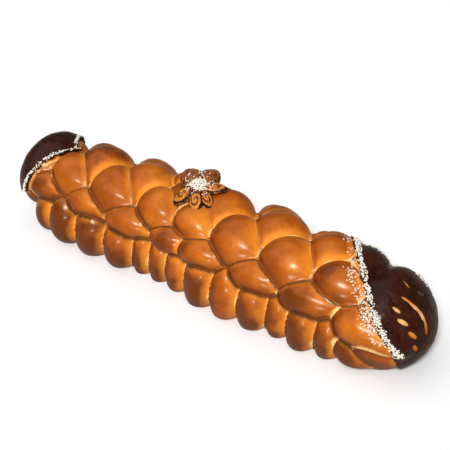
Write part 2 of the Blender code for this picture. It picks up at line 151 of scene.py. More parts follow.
def strand_axes(out: Vector, turn: float, shingle: float) -> Array:
    """Finds the axes of a swell whose leading end dives inwards.

    Args:
        out: direction out of the loaf.
        turn: turn of the strand against the loaf's length.
        shingle: dive of its leading end.

    Returns:
        Rows along the strand, across it and out.
    """
    turn = radians(turn)
    dive = radians(shingle)
    ahead = Vector((1.0, 0.0, 0.0))
    sideways = Vector((0.0, out.z, -out.y))
    along = ahead * cos(turn) + sideways * sin(turn)
    across = sideways * cos(turn) - ahead * sin(turn)
    return np.array([along * cos(dive) - out * sin(dive), across, out * cos(dive) + along * sin(dive)])


@dataclass(frozen=True)
class Row:
    """One row of swells: angle from the crown, half sizes, turn, shingle, places, sizes and sinks."""

    tier: Tier
    angle: float
    half: Triple
    turn: float
    shingle: float
    places: tuple[float, ...] = ()
    sizes: tuple[float, ...] = ()
    sinks: tuple[float, ...] = (0.0,) * 7

    def swell(self, x: float, size: float, sink: float = 0.0) -> Swell:
        """Places one of the row's swells.

        Args:
            x: place along the loaf.
            size: share of the row's half sizes.
            sink: how deep its back lies under the section.

        Returns:
            The swell.
        """
        t = radians(self.angle)
        half = np.array(self.half) * size
        out = Vector((0.0, sin(t) / SECTION_HALF_WIDTH, cos(t) / SECTION_HALF_HEIGHT)).normalized()
        scale = girth(x)
        height = SECTION_HEIGHT + scale * SECTION_HALF_HEIGHT * cos(t)
        back = Vector((x, scale * SECTION_HALF_WIDTH * sin(t), height)) - out * (half[2] + sink)
        return Swell(self.tier, np.array(back), strand_axes(out, self.turn, self.shingle), half)


def side_swell(
    tier: Tier, side: int, place: Triple, lean: float, turn: float, shingle: float, half: Triple
) -> Swell:
    """Places a swell by its distance from the middle plane.

    Args:
        tier: where it lies in the plait.
        side: -1 for the front, 1 for the back.
        place: along the loaf, away from the middle plane, and height.
        lean: angle of its outward axis from upright.
        turn: turn of the strand.
        shingle: dive of its leading end.
        half: half sizes.

    Returns:
        The swell.
    """
    out = Vector((0.0, side * sin(radians(lean)), cos(radians(lean))))
    centre = np.array((place[0], side * place[1], place[2]))
    return Swell(tier, centre, strand_axes(out, turn * side, shingle), np.array(half))


@dataclass(frozen=True)
class Plait:
    """All swells of the loaf, from the same rule as its solids."""

    core_half: Triple = (0.345, 0.074, 0.078)
    core_height: float = 0.058
    lower_away: float = 0.063
    lower_height: float = 0.041
    lower_half: Triple = (0.038, 0.056, 0.038)
    lower_waist: float = 0.8
    back_first: float = -0.28
    back_pitch: float = 0.0495
    back_count: int = 13

    def rows(self) -> list[Row]:
        """Returns the upper rows, from the front crown over the top to the back shoulder."""
        return [
            Row(Tier.FRONT_CROWN, -35, (0.062, 0.043, 0.038), -10, 12,
                (-0.226, -0.135, -0.046, 0.024, 0.107, 0.199), (1.0, 1.12, 0.92, 0.84, 1.08, 1.12)),
            Row(Tier.TOP, -8, (0.066, 0.048, 0.042), -32, 8,
                (-0.19, -0.096, -0.01, 0.054, 0.156, 0.253), (1.1, 1.05, 0.9, 1.06, 1.06, 1.02)),
            Row(Tier.BACK_CROWN, 30, (0.05, 0.042, 0.036), 14, 12,
                (-0.215, -0.112, -0.042, 0.022, 0.132, 0.222), (1.0, 1.05, 0.9, 0.85, 0.95, 0.95),
                (0.001, 0.001, 0.001, 0.006, 0.001, 0.01)),
            Row(Tier.FRONT_SHOULDER, -62, (0.064, 0.03, 0.034), 4, 8,
                (-0.268, -0.172, -0.092, -0.006, 0.056, 0.158, 0.252),
                (0.95, 0.95, 0.95, 0.8, 0.95, 1.0, 1.1)),
            Row(Tier.BACK_SHOULDER, 60, (0.054, 0.036, 0.034), -8, 10,
                (-0.3, -0.222, -0.133, -0.065, 0.002, 0.11, 0.225),
                (0.6, 0.95, 1.0, 0.9, 0.85, 0.95, 1.0), (0.012, 0.0, 0.0, 0.0, 0.004, 0.0, 0.003)),
        ]

    def lower(self, side: int, x: float, size: float) -> Swell:
        """Returns one upright swell of the lower tier."""
        scale = girth(x)
        out = scale * (1.0 - self.lower_waist * (1.0 - size))
        half = (self.lower_half[0] * size, self.lower_half[1] * scale, self.lower_half[2] * out)
        return side_swell(Tier.LOWER, side, (x, self.lower_away * out, self.lower_height), 88, 8, 12, half)

    def lower_front(self) -> list[Swell]:
        """Returns the lower tier of the front, where the swells differ in size."""
        places = (-0.276, -0.23, -0.174, -0.116, -0.074, -0.038, 0.0, 0.05, 0.1, 0.15, 0.194, 0.238, 0.282)
        sizes = (0.92, 1.08, 1.05, 1.0, 0.8, 0.8, 0.84, 1.0, 1.0, 0.98, 0.88, 0.96, 0.9)
        return [self.lower(-1, x, size) for x, size in zip(places, sizes)]

    def knob(self) -> Swell:
        """Returns the plump knob of the near end."""
        return side_swell(Tier.END, -1, (0.353, 0.006, 0.06), 0, 0, 0, (0.061, 0.08, 0.076))

    def far_end(self) -> Swell:
        """Returns the blunt far end."""
        return side_swell(Tier.END, 1, (-0.299, -0.003, 0.077), 0, 0, 0, (0.056, 0.071, 0.061))

    def swells(self) -> list[Swell]:
        """Returns every swell, the body under them last."""
        rows = self.rows()
        found = [row.swell(*place) for row in rows for place in zip(row.places, row.sizes, row.sinks)]
        found += self.lower_front()
        found += [self.lower(1, self.back_first + i * self.back_pitch, 1.0) for i in range(self.back_count)]
        last_front = Row(Tier.FRONT_CROWN, -29, rows[0].half, 4, rows[0].shingle)
        middle = np.array((0.0, 0.0, self.core_height))
        return found + [
            last_front.swell(0.284, 0.94),
            side_swell(Tier.FRONT_SHOULDER, -1, (0.338, 0.053, 0.07), 58, 7, 6, (0.066, 0.036, 0.04)),
            side_swell(Tier.LOWER, -1, (0.326, 0.055, 0.033), 88, 4, 4, (0.048, 0.036, 0.034)),
            side_swell(Tier.TOP, 1, (0.29, 0.0, 0.1), 0, 0, 8, (0.046, 0.06, 0.048)),
            self.knob(),
            self.far_end(),
            Swell(Tier.CORE, middle, np.eye(3), np.array(self.core_half), 0.0),
        ]


@dataclass
class Skin:
    """The surface that many swells make together, with a small fillet in the creases."""

    swells: list[Swell]
    fillet: float
    most: float = 0.003

    def measure(self, points: Array) -> tuple[Array, Array]:
        """Measures how far each point lies outside every swell.

        Args:
            points: places, one a row.

        Returns:
            One column of distances a swell, and the outward directions there.
        """
        distances = np.empty((len(points), len(self.swells)))
        outs = np.empty((len(points), len(self.swells), 3), np.float32)
        for i, swell in enumerate(self.swells):
            distances[:, i], outs[:, i] = swell.distance(points)
        return distances, outs

    def nearest(self, points: Array) -> tuple[Array, Array, Array]:
        """Finds the three swells nearest to each point.

        Args:
            points: places, one a row.

        Returns:
            Their numbers, distances and outward directions, nearest first.
        """
        distances, outs = self.measure(points)
        order = np.argsort(distances, axis=1)[:, :3]
        rows = np.arange(len(points))[:, None]
        return order, distances[rows, order], outs[rows, order]

    def height(self, points: Array) -> tuple[Array, Array]:
        """Measures how far points lie outside the filleted surface.

        Args:
            points: places, one a row.

        Returns:
            The height of each, and the outward direction there.
        """
        _, distances, outs = self.nearest(points)
        share = np.clip(1.0 - (distances[:, 1] - distances[:, 0]) / self.fillet, 0.0, 1.0)
        direction = outs[:, 0] * (1.0 - share[:, None] / 2) + outs[:, 1] * share[:, None] / 2
        direction /= np.linalg.norm(direction, axis=1)[:, None] + 1e-9
        return distances[:, 0] - self.fillet * share * share / 4, direction

    def settle(self, points: Array, rise: Array, steps: int = 4) -> Array:
        """Moves points onto the surface raised by a length at each point.

        Args:
            points: places near the surface.
            rise: height of each point over the surface.
            steps: how many times the points are moved.

        Returns:
            The moved points.
        """
        for _ in range(steps):
            height, direction = self.height(points)
            points = points + direction * np.clip(rise - height, -self.most, self.most)[:, None]
        return points


def ripple(points: Array, wavelength: float, seed: int, waves: int = 7) -> Array:
    """Makes a smooth uneven field from waves in seeded directions.

    Args:
        points: places, one a row.
        wavelength: mean length of a wave.
        seed: number that fixes the field.
        waves: how many waves are summed.

    Returns:
        One value a point, mostly between -1 and 1.
    """
    rng = np.random.default_rng(seed)
    total = np.zeros(len(points))
    for _ in range(waves):
        direction = rng.normal(size=3)
        direction *= tau * rng.uniform(0.7, 1.4) / (wavelength * np.linalg.norm(direction))
        total += np.sin(points @ direction + rng.uniform(0.0, tau))
    return total / sqrt(2.0 * waves)


def smooth_step(low: float, high: float, value: Array) -> Array:
    """Returns 0 below low, 1 above high, and an even rise between them."""
    t = np.clip((value - low) / (high - low), 0.0, 1.0)
    return t * t * (3.0 - 2.0 * t)


# Mesh steps


def only(obj: Obj) -> None:
    """Deselects everything, then selects the object and makes it active."""
    for other in bpy.context.view_layer.objects:
        other.select_set(False)
    obj.select_set(True)
    bpy.context.view_layer.objects.active = obj


def new_object(name: str, data: bpy.types.ID) -> Obj:
    """Returns a new object of the scene that shows some data."""
    obj = bpy.data.objects.new(name, data)
    bpy.context.scene.collection.objects.link(obj)
    return obj


def new_piece(name: str, points: Array | list, faces: list[tuple[int, ...]]) -> Obj:
    """Returns a mesh object made from its corners and the corner numbers of its faces."""
    mesh = bpy.data.meshes.new(name)
    mesh.from_pydata([tuple(p) for p in points], [], faces)
    return new_object(name, mesh)


def corners_of(obj: Obj) -> Array:
    """Returns the object's corners, one a row."""
    flat = np.empty(len(obj.data.vertices) * 3)
    obj.data.vertices.foreach_get("co", flat)
    return flat.reshape(-1, 3)


def move_corners(obj: Obj, points: Array) -> None:
    """Writes the object's corners."""
    obj.data.vertices.foreach_set("co", np.asarray(points, np.float64).ravel())
    obj.data.update()


def apply_step(obj: Obj, kind: str, **settings: object) -> None:
    """Adds one modifier and applies it.

    Args:
        obj: the object.
        kind: type of the modifier.
        **settings: its values.
    """
    only(obj)
    step = obj.modifiers.new(kind.lower(), kind)
    for key, value in settings.items():
        setattr(step, key, value)
    bpy.ops.object.modifier_apply(modifier=step.name)


def combine(obj: Obj, helper: Obj, operation: str) -> None:
    """Joins a helper body to the object, or cuts or keeps with it, and removes the helper."""
    apply_step(obj, "BOOLEAN", object=helper, operation=operation, solver="MANIFOLD")
    bpy.data.objects.remove(helper)


def model_ball(name: str, divisions: int) -> Obj:
    """Returns a ball of radius 1 at the origin, to be copied and shaped."""
    bpy.ops.object.select_all(action="DESELECT")
    bpy.ops.mesh.primitive_ico_sphere_add(subdivisions=divisions, radius=1.0, location=(0.0, 0.0, 0.0))
    bpy.context.object.name = name
    return bpy.context.object


def fused(name: str, swells: list[Swell], extra: float, voxel: float) -> Obj:
    """Copies one model swell to every place, and fuses the copies into one closed skin.

    Args:
        name: name of the piece.
        swells: where the copies go.
        extra: length by which each is grown.
        voxel: cell size of the fused skin.

    Returns:
        The fused piece.
    """
    model = model_ball("model_swell", 6)
    unit = corners_of(model)
    copies = []
    for swell in swells:
        copies.append(new_object(name, model.data.copy()))
        move_corners(copies[-1], swell.place(unit, extra))
    bpy.data.objects.remove(model)
    piece = copies[0]
    only(piece)
    for copy in copies:
        copy.select_set(True)
    bpy.ops.object.join()
    piece.data.name = name
    apply_step(piece, "REMESH", mode="VOXEL", voxel_size=voxel)
    return piece


def cut_below(obj: Obj, height: float) -> None:
    """Cuts away whatever of the object lies under a height."""
    bpy.ops.object.select_all(action="DESELECT")
    bpy.ops.mesh.primitive_cube_add(size=2.0, location=(0.0, 0.0, height - 1.0))
    bpy.ops.object.transform_apply(location=True, rotation=True, scale=True)
    combine(obj, bpy.context.object, "DIFFERENCE")


def smooth_shade(obj: Obj, angle: float = 60.0) -> None:
    """Shades the object smooth, apart from edges sharper than an angle."""
    only(obj)
    bpy.ops.object.shade_smooth_by_angle(angle=radians(angle))


def set_fields(obj: Obj, **fields: Array) -> None:
    """Stores numbers or vectors at each corner, under their names, for the finish to read."""
    for name, values in fields.items():
        kind, key = ("FLOAT_VECTOR", "vector") if values.ndim == 2 else ("FLOAT", "value")
        attribute = obj.data.attributes.new(name, kind, "POINT")
        attribute.data.foreach_set(key, np.asarray(values, np.float32).ravel())


def surface_tree(obj: Obj) -> BVHTree:
    """Returns a search tree over the object's facets."""
    corners = [vert.co for vert in obj.data.vertices]
    return BVHTree.FromPolygons(corners, [tuple(face.vertices) for face in obj.data.polygons])


def dress(obj: Obj, material: bpy.types.Material, slot: str, *nodes: str) -> Obj:
    """Gives a piece its finish and body, and hides the CAD nodes that it stands for.

    Args:
        obj: the piece.
        material: its finish.
        slot: the record's material slot; not used.
        *nodes: CAD nodes that it replaces.

    Returns:
        The piece.
    """
    obj.data.materials.clear()
    obj.data.materials.append(material)
    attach(obj, BODY)
    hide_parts(*nodes)
    LOG.info("%s: %d faces", obj.name, len(obj.data.polygons))
    return obj


# Finishes


@dataclass(frozen=True)
class Value:
    """An output of a node, with the graph that works on it."""

    graph: "Graph"
    socket: bpy.types.NodeSocket

    def __add__(self, other: object) -> "Value":
        """Returns the sum."""
        return self.graph.math("ADD", self, other)

    def __sub__(self, other: object) -> "Value":
        """Returns the difference."""
        return self.graph.math("SUBTRACT", self, other)

    def __mul__(self, other: object) -> "Value":
        """Returns the product."""
        return self.graph.math("MULTIPLY", self, other)

    def span(self, low: float, high: float, start: float = 0.0, end: float = 1.0) -> "Value":
        """Returns the value taken smoothly from the range low-high to the range start-end."""
        inputs = (self, low, high, start, end)
        return self.graph.output("ShaderNodeMapRange", 0, inputs, interpolation_type="SMOOTHSTEP")

    def axis(self, name: str) -> "Value":
        """Returns one axis of a vector."""
        return self.graph.output("ShaderNodeSeparateXYZ", name, (self,))


Links = dict[str, Value]


@dataclass(frozen=True)
class Graph:
    """Adds and links the nodes of one node tree."""

    tree: bpy.types.NodeTree

    def feed(self, node: bpy.types.Node, inputs: tuple | dict) -> None:
        """Feeds a node.

        Args:
            node: the node.
            inputs: values or constants in order, or under the names or numbers of the inputs.
        """
        for key, value in inputs.items() if isinstance(inputs, dict) else enumerate(inputs):
            socket = node.inputs[key]
            if isinstance(value, Value):
                self.tree.links.new(value.socket, socket)
            else:
                socket.default_value = (*value, 1.0) if socket.type == "RGBA" else value

    def node(self, kind: str, inputs: tuple | dict = (), **settings: object) -> bpy.types.Node:
        """Adds a node.

        Args:
            kind: type of the node.
            inputs: what it is fed, as for feed.
            **settings: its properties.

        Returns:
            The node.
        """
        node = self.tree.nodes.new(kind)
        for key, value in settings.items():
            setattr(node, key, value)
        self.feed(node, inputs)
        return node

    def output(self, kind: str, name: str | int, inputs: tuple | dict = (), **settings: object) -> Value:
        """Adds a node and returns the output of that name or number."""
        return Value(self, self.node(kind, inputs, **settings).outputs[name])

    def math(self, operation: str, *values: object) -> Value:
        """Returns the outcome of one sum on numbers."""
        return self.output("ShaderNodeMath", 0, values, operation=operation)

    def mix(self, share: Value, a: object, b: object) -> Value:
        """Returns two colours mixed by a share."""
        return self.output("ShaderNodeMix", 2, {0: share, 6: a, 7: b}, data_type="RGBA")

    def field(self, name: str, kind: str = "Fac") -> Value:
        """Returns a field stored on the piece."""
        return self.output("ShaderNodeAttribute", kind, attribute_name=name)

    def place(self, kind: str = "Object") -> Value:
        """Returns the place on the object, or its Normal."""
        return self.output("ShaderNodeTexCoord", kind)

    def noise(self, vector: Value, scale: object, detail: float, roughness: float = 0.5) -> Value:
        """Returns a noise between 0 and 1."""
        inputs = {"Vector": vector, "Scale": scale, "Detail": detail, "Roughness": roughness}
        return self.output("ShaderNodeTexNoise", "Fac", inputs)

    def streaks(self, vector: Value, scale: Triple) -> Value:
        """Returns a noise drawn out along an axis."""
        stretched = self.output("ShaderNodeVectorMath", 0, (vector, scale), operation="MULTIPLY")
        return self.noise(stretched, 1.0, 3.0, 0.6)

    def bump(self, height: Value, strength: float, distance: float) -> Value:
        """Returns the surface direction under a relief."""
        inputs = {"Strength": strength, "Distance": distance, "Height": height}
        return self.output("ShaderNodeBump", "Normal", inputs)


def baked_mottle() -> bpy.types.ShaderNodeTree:
    """Makes the shared effect of uneven baking: blotches, fine blisters and patchy gloss.

    Returns:
        The node group, made once.
    """
    found = bpy.data.node_groups.get("baked_mottle")
    if found:
        return found
    tree = bpy.data.node_groups.new("baked_mottle", "ShaderNodeTree")
    tree.interface.new_socket("Vector", in_out="INPUT", socket_type="NodeSocketVector")
    for name in ("Blotch Scale", "Blister Scale"):
        tree.interface.new_socket(name, in_out="INPUT", socket_type="NodeSocketFloat")
    for name in ("Blotch", "Blister", "Dull"):
        tree.interface.new_socket(name, in_out="OUTPUT", socket_type="NodeSocketFloat")
    graph = Graph(tree)
    start = graph.node("NodeGroupInput")
    vector, wide, fine = (Value(graph, start.outputs[i]) for i in range(3))
    blotch = graph.noise(vector, wide, 4.0, 0.55).span(0.3, 0.7)
    dull = graph.noise(vector, wide * 2.7, 3.0).span(0.35, 0.7)
    graph.node("NodeGroupOutput", (blotch, graph.noise(vector, fine, 2.0), dull))
    return tree


@dataclass(frozen=True)
class Finish:
    """What every finish has: a name, the values that stay the same all over, and its baking's scales."""

    name: str
    roughness: float
    coat: float
    coat_roughness: float
    specular: float
    shine: Triple = (1.0, 1.0, 1.0)
    scales: Pair = (100.0, 900.0)

    def material(self) -> bpy.types.Material:
        """Makes the material.

        Returns:
            The material, with the finish's constants on its shader and its surface linked to it.
        """
        material = bpy.data.materials.new(self.name)
        material.use_nodes = True
        graph = Graph(material.node_tree)
        shader = material.node_tree.nodes["Principled BSDF"]
        graph.feed(shader, {
            "Roughness": self.roughness, "Coat Weight": self.coat, "Coat Roughness": self.coat_roughness,
            "Specular IOR Level": self.specular, "Specular Tint": self.shine,
        })
        place = graph.place()
        mottle = graph.node("ShaderNodeGroup", node_tree=baked_mottle())
        graph.feed(mottle, (place, *self.scales))
        graph.feed(shader, self.surface(graph, place, *(Value(graph, socket) for socket in mottle.outputs)))
        return material

    def surface(self, graph: Graph, place: Value, blotch: Value, blister: Value, dull: Value) -> Links:
        """Returns what is linked to the shader."""
        raise NotImplementedError


@dataclass(frozen=True)
class CrustFinish(Finish):
    """Egg-washed crust: caramel swells, orange tails, pale stretched creases, and painted shade at lips and
    creases.
    """

    shine: Triple = (1.0, 0.68, 0.36)
    scales: Pair = (24.0, 520.0)
    toasted: Triple = (0.15, 0.029, 0.002)
    caramel: Triple = (0.4, 0.084, 0.004)
    amber: Triple = (0.66, 0.185, 0.012)
    orange: Triple = (0.92, 0.29, 0.024)
    cream: Triple = (1.0, 0.6, 0.23)
    # Near-black of toasted edges, here mostly painted shade on lips and painted shadow in the creases under
    # them
    scorch_and_shade: Triple = (0.03, 0.009, 0.003)
    underside: Triple = (0.3, 0.14, 0.05)
    # Direction that lips face where painted shade darkens them most
    behind: Triple = (-0.66, 0.0, -0.75)

    def surface(self, graph: Graph, place: Value, blotch: Value, blister: Value, dull: Value) -> Links:
        """Returns what is linked to the shader."""
        fibres = graph.streaks(graph.field("strand", "Vector"), (50.0, 420.0, 420.0))
        seam, side, below, reach = (graph.field(name) for name in ("seam", "side", "below", "reach"))
        away = seam.span(4.5, 6.0)
        fibres = fibres * seam.span(1.0, 4.0)
        shade = self.shade(graph, place, blotch, fibres)
        colour = graph.mix(shade.span(0.0, 0.5), self.toasted, self.caramel)
        colour = graph.mix(shade.span(0.4, 1.0), colour, self.amber)
        speck = graph.noise(place, 75.0, 4.0, 0.7).span(0.58, 0.74, 0.0, 0.6)
        colour = graph.mix(speck * blotch.span(0.3, 0.8), colour, self.toasted)
        # Distances from the crease in millimetres, where this strand dives and where it stands over
        beside, afar = graph.math("ABSOLUTE", side), seam.span(2.2, 3.8)
        dive, lip = (beside + (graph.field(name) - beside) * afar for name in ("dive", "lip"))
        diving = graph.math("MAXIMUM", side.span(-0.5, 0.4), away)
        over = graph.math("MAXIMUM", side.span(0.5, -0.4), away)
        wander = graph.noise(place, 95.0, 2.0, 0.6) * 4.0 - 2.0
        dive = dive + wander * dive.span(0.0, 2.5, 0.35, 1.0)
        near = graph.math("DIVIDE", dive, blotch * 8.0 + 8.0)
        # Painted shade: the orange and the pale dough fade where the strand looks up from under a lip
        glow = near.span(0.05, 1.0, 0.85, 0.0) * diving * below.span(0.0, 1.0, 1.0, 0.45)
        colour = graph.mix(glow, colour, self.orange)
        pale = (reach - dive).span(-0.5, 4.0) * diving * below.span(0.0, 1.0, 1.0, 0.12)
        colour = graph.mix(pale, colour, self.cream)
        colour = self.edges(graph, place, colour, lip + wander * 0.35, over)
        # Painted shadow: near-black in the crease where the diving strand looks up from under a lip
        colour = graph.mix(dive.span(0.4, 5.5, 0.92, 0.0) * diving * below, colour, self.scorch_and_shade)
        gloss = place.axis("Z").span(0.05, 0.1, self.coat * 1.6, self.coat)
        relief = fibres + blister * 0.35 + graph.noise(place, 130.0, 2.0, 0.55) * 1.2
        return {
            "Base Color": colour,
            "Roughness": dull * 0.16 + pale * 0.22 + (self.roughness - 0.08),
            "Coat Weight": gloss * pale.span(0.0, 1.0, 1.0, 0.2),
            "Normal": graph.bump(relief, 0.3, 0.0006),
        }

    def shade(self, graph: Graph, place: Value, blotch: Value, fibres: Value) -> Value:
        """Returns how light the crust is, from the strand's tail, its own tone, blotches, fibres and painted
        shade low down.
        """
        strand = graph.field("tail") * 0.4 + graph.field("tone") * 0.4 + graph.field("proud") * -0.12
        # Painted shade: darker towards the floor; also darker towards the far end
        low = place.axis("Z").span(0.0, 0.1, -0.58, 0.0) + place.axis("X").span(-0.22, 0.02, -0.14, 0.0)
        return strand + low + blotch * 0.44 + fibres * 0.18 + 0.2

    def edges(self, graph: Graph, place: Value, colour: Value, lip: Value, over: Value) -> Value:
        """Paints shade on the lips that stand over a crease, partly their toasting too, and gives the
        underside a plain tone.

        Args:
            graph: the finish's graph.
            place: the place on the loaf.
            colour: the crust's colour so far.
            lip: distance from the crease on the side that stands over it, in millimetres.
            over: 1 on that side and 0 elsewhere.

        Returns:
            The finished colour.
        """
        facing = graph.place("Normal")
        back = graph.output("ShaderNodeVectorMath", "Value", (facing, self.behind), operation="DOT_PRODUCT")
        # Painted shade, partly toasting: brown, then near-black, where lips face down and back; the
        # near-black is weaker low down
        brown = lip.span(0.5, 24.0, 0.95, 0.0) * back.span(-0.55, 0.45, 0.15, 1.0) * over
        colour = graph.mix(brown, colour, self.toasted)
        dark = lip.span(0.4, 13.0, 0.97, 0.0) * back.span(-0.35, 0.55) * over
        colour = graph.mix(dark * place.axis("Z").span(0.05, 0.09, 0.5, 1.0), colour, self.scorch_and_shade)
        return graph.mix(facing.axis("Z").span(-0.8, -0.97), colour, self.underside)


@dataclass(frozen=True)
class DarkDoughFinish(Finish):
    """Very dark glossy dough, browner where it stretched, with fine drag lines."""

    shine: Triple = (1.0, 0.7, 0.55)
    scales: Pair = (22.0, 600.0)
    dark: Triple = (0.017, 0.004, 0.002)
    brown: Triple = (0.062, 0.014, 0.006)

    def surface(self, graph: Graph, place: Value, blotch: Value, blister: Value, dull: Value) -> Links:
        """Returns what is linked to the shader."""
        drag = graph.streaks(place, (30.0, 210.0, 210.0))
        relief = drag + blister * 0.25 + graph.noise(place, 60.0, 2.0) * 1.8
        return {
            "Base Color": graph.mix((drag * 0.7 + blotch * 0.4).span(0.25, 0.95), self.dark, self.brown),
            "Roughness": dull * 0.18 + self.roughness,
            "Normal": graph.bump(relief, 0.8, 0.0022),
        }


@dataclass(frozen=True)
class RolledDoughFinish(Finish):
    """Golden rolled dough with near-black lines along its coils."""

    scales: Pair = (110.0, 900.0)
    gold: Triple = (0.36, 0.1, 0.01)
    tan: Triple = (0.66, 0.25, 0.035)
    brown: Triple = (0.24, 0.075, 0.02)
    scorch_and_shade: Triple = (0.018, 0.006, 0.003)

    def surface(self, graph: Graph, place: Value, blotch: Value, blister: Value, dull: Value) -> Links:
        """Returns what is linked to the shader."""
        wander = dull * 0.5 - 0.25
        colour = graph.mix(blotch, self.gold, self.tan)
        colour = graph.mix((graph.field("burnt") + wander).span(0.1, 0.9), colour, self.brown)
        colour = graph.mix((graph.field("line") + wander).span(0.35, 0.75), colour, self.scorch_and_shade)
        return {"Base Color": colour, "Normal": graph.bump(blister, 0.35, 0.0004)}


@dataclass(frozen=True)
class SeedFinish(Finish):
    """Hulled sesame: off-white, a few seeds toasted, with a faint ridge."""

    scales: Pair = (160.0, 1500.0)
    white: Triple = (0.88, 0.83, 0.73)
    toasted: Triple = (0.72, 0.38, 0.15)

    def surface(self, graph: Graph, place: Value, blotch: Value, blister: Value, dull: Value) -> Links:
        """Returns what is linked to the shader."""
        share = graph.field("toast") + blotch * 0.2 - 0.1
        colour = graph.mix(share.span(0.0, 1.0), self.white, self.toasted)
        return {"Base Color": colour, "Normal": graph.bump(blister, 0.25, 0.0003)}


@dataclass(frozen=True)
class FloorFinish(Finish):
    """Plain pale floor with a barely uneven tone, which throws back less light than it shows."""

    scales: Pair = (0.8, 90.0)
    pale: Triple = (0.955, 0.955, 0.955)
    paler: Triple = (0.975, 0.975, 0.975)
    bounced: Triple = (0.4, 0.38, 0.35)

    def surface(self, graph: Graph, place: Value, blotch: Value, blister: Value, dull: Value) -> Links:
        """Returns what is linked to the shader."""
        seen = graph.output("ShaderNodeLightPath", "Is Camera Ray")
        colour = graph.mix(seen, self.bounced, graph.mix(blotch, self.pale, self.paler))
        return {"Base Color": colour, "Normal": graph.bump(blister, 0.02, 0.001)}


@dataclass(frozen=True)
class Finishes:
    """The finishes, each with its roughness, coat, coat roughness and specular level."""

    crust: Finish = CrustFinish("egg_washed_crust", 0.4, 0.2, 0.15, 0.34)
    dark: Finish = DarkDoughFinish("dark_dough", 0.28, 0.22, 0.12, 0.12)
    rolled: Finish = RolledDoughFinish("rolled_dough", 0.45, 0.06, 0.25, 0.1)
    seed: Finish = SeedFinish("white_seed", 0.5, 0.0, 0.2, 0.3)
    floor: Finish = FloorFinish("pale_floor", 0.9, 0.0, 0.2, 0.1)


# Pieces


@dataclass(frozen=True)
class Rim:
    """The rim of an end leaf: how far along the loaf it crosses each angle round it."""

    end: int
    corner: float
    corner_angle: float
    reach: float
    spread: float
    power: float
    tuck: float
    ragged: float

    def x(self, angle: float) -> float:
        """Returns where the even rim crosses an angle."""
        off = abs((angle - self.corner_angle + 180.0) % 360.0 - 180.0)
        along = self.reach * min(off / self.spread, 1.0) ** self.power
        return self.corner + self.end * (along + self.tuck * max(off - self.spread, 0.0))

    def torn_x(self, angle: float) -> float:
        """Returns where the torn rim crosses an angle."""
        t = radians(angle)
        wave = sin(23 * t + 1.0) + 0.8 * sin(41 * t + 2.3) + 0.6 * sin(67 * t) + 0.5 * sin(97 * t)
        return self.x(angle) + self.ragged * wave / 2.0

    def over(self, points: Array) -> Array:
        """Measures how far points lie under the leaf.

        Args:
            points: places, one a row.

        Returns:
            The distance of each from the rim in metres, negative on the bare crust.
        """
        angles = np.degrees(np.arctan2(points[:, 1], points[:, 2] - SECTION_HEIGHT))
        steps = np.arange(-180.0, 181.0, 1.0)
        edges = np.array([self.x(angle) for angle in steps])
        edge = np.interp(angles, steps, edges)
        slope = np.interp(angles, steps, np.gradient(edges, radians(1.0)))
        away = np.hypot(points[:, 1], points[:, 2] - SECTION_HEIGHT) + 0.01
        return (points[:, 0] - edge) * self.end / np.hypot(1.0, slope / away)


NEAR_RIM = Rim(1, 0.249, 21, 0.14, 106, 1.0, 0.0, 0.0022)
FAR_RIM = Rim(-1, -0.25, -1, 0.064, 78, 0.5, 0.0022, 0.0026)

# How light some swells are, from 0 to 1, by their number in the plait: baked tone, on some raised as a
# painted highlight
BAKED_AND_LIT = {
    0: 0.95, 1: 0.75, 2: 0.8, 3: 0.9, 4: 0.5, 5: 0.5, 6: 0.15, 7: 1.0, 9: 0.75, 10: 0.5, 11: 0.35,
    18: 0.0, 24: 0.15, 58: 0.05, 59: 0.8,
}


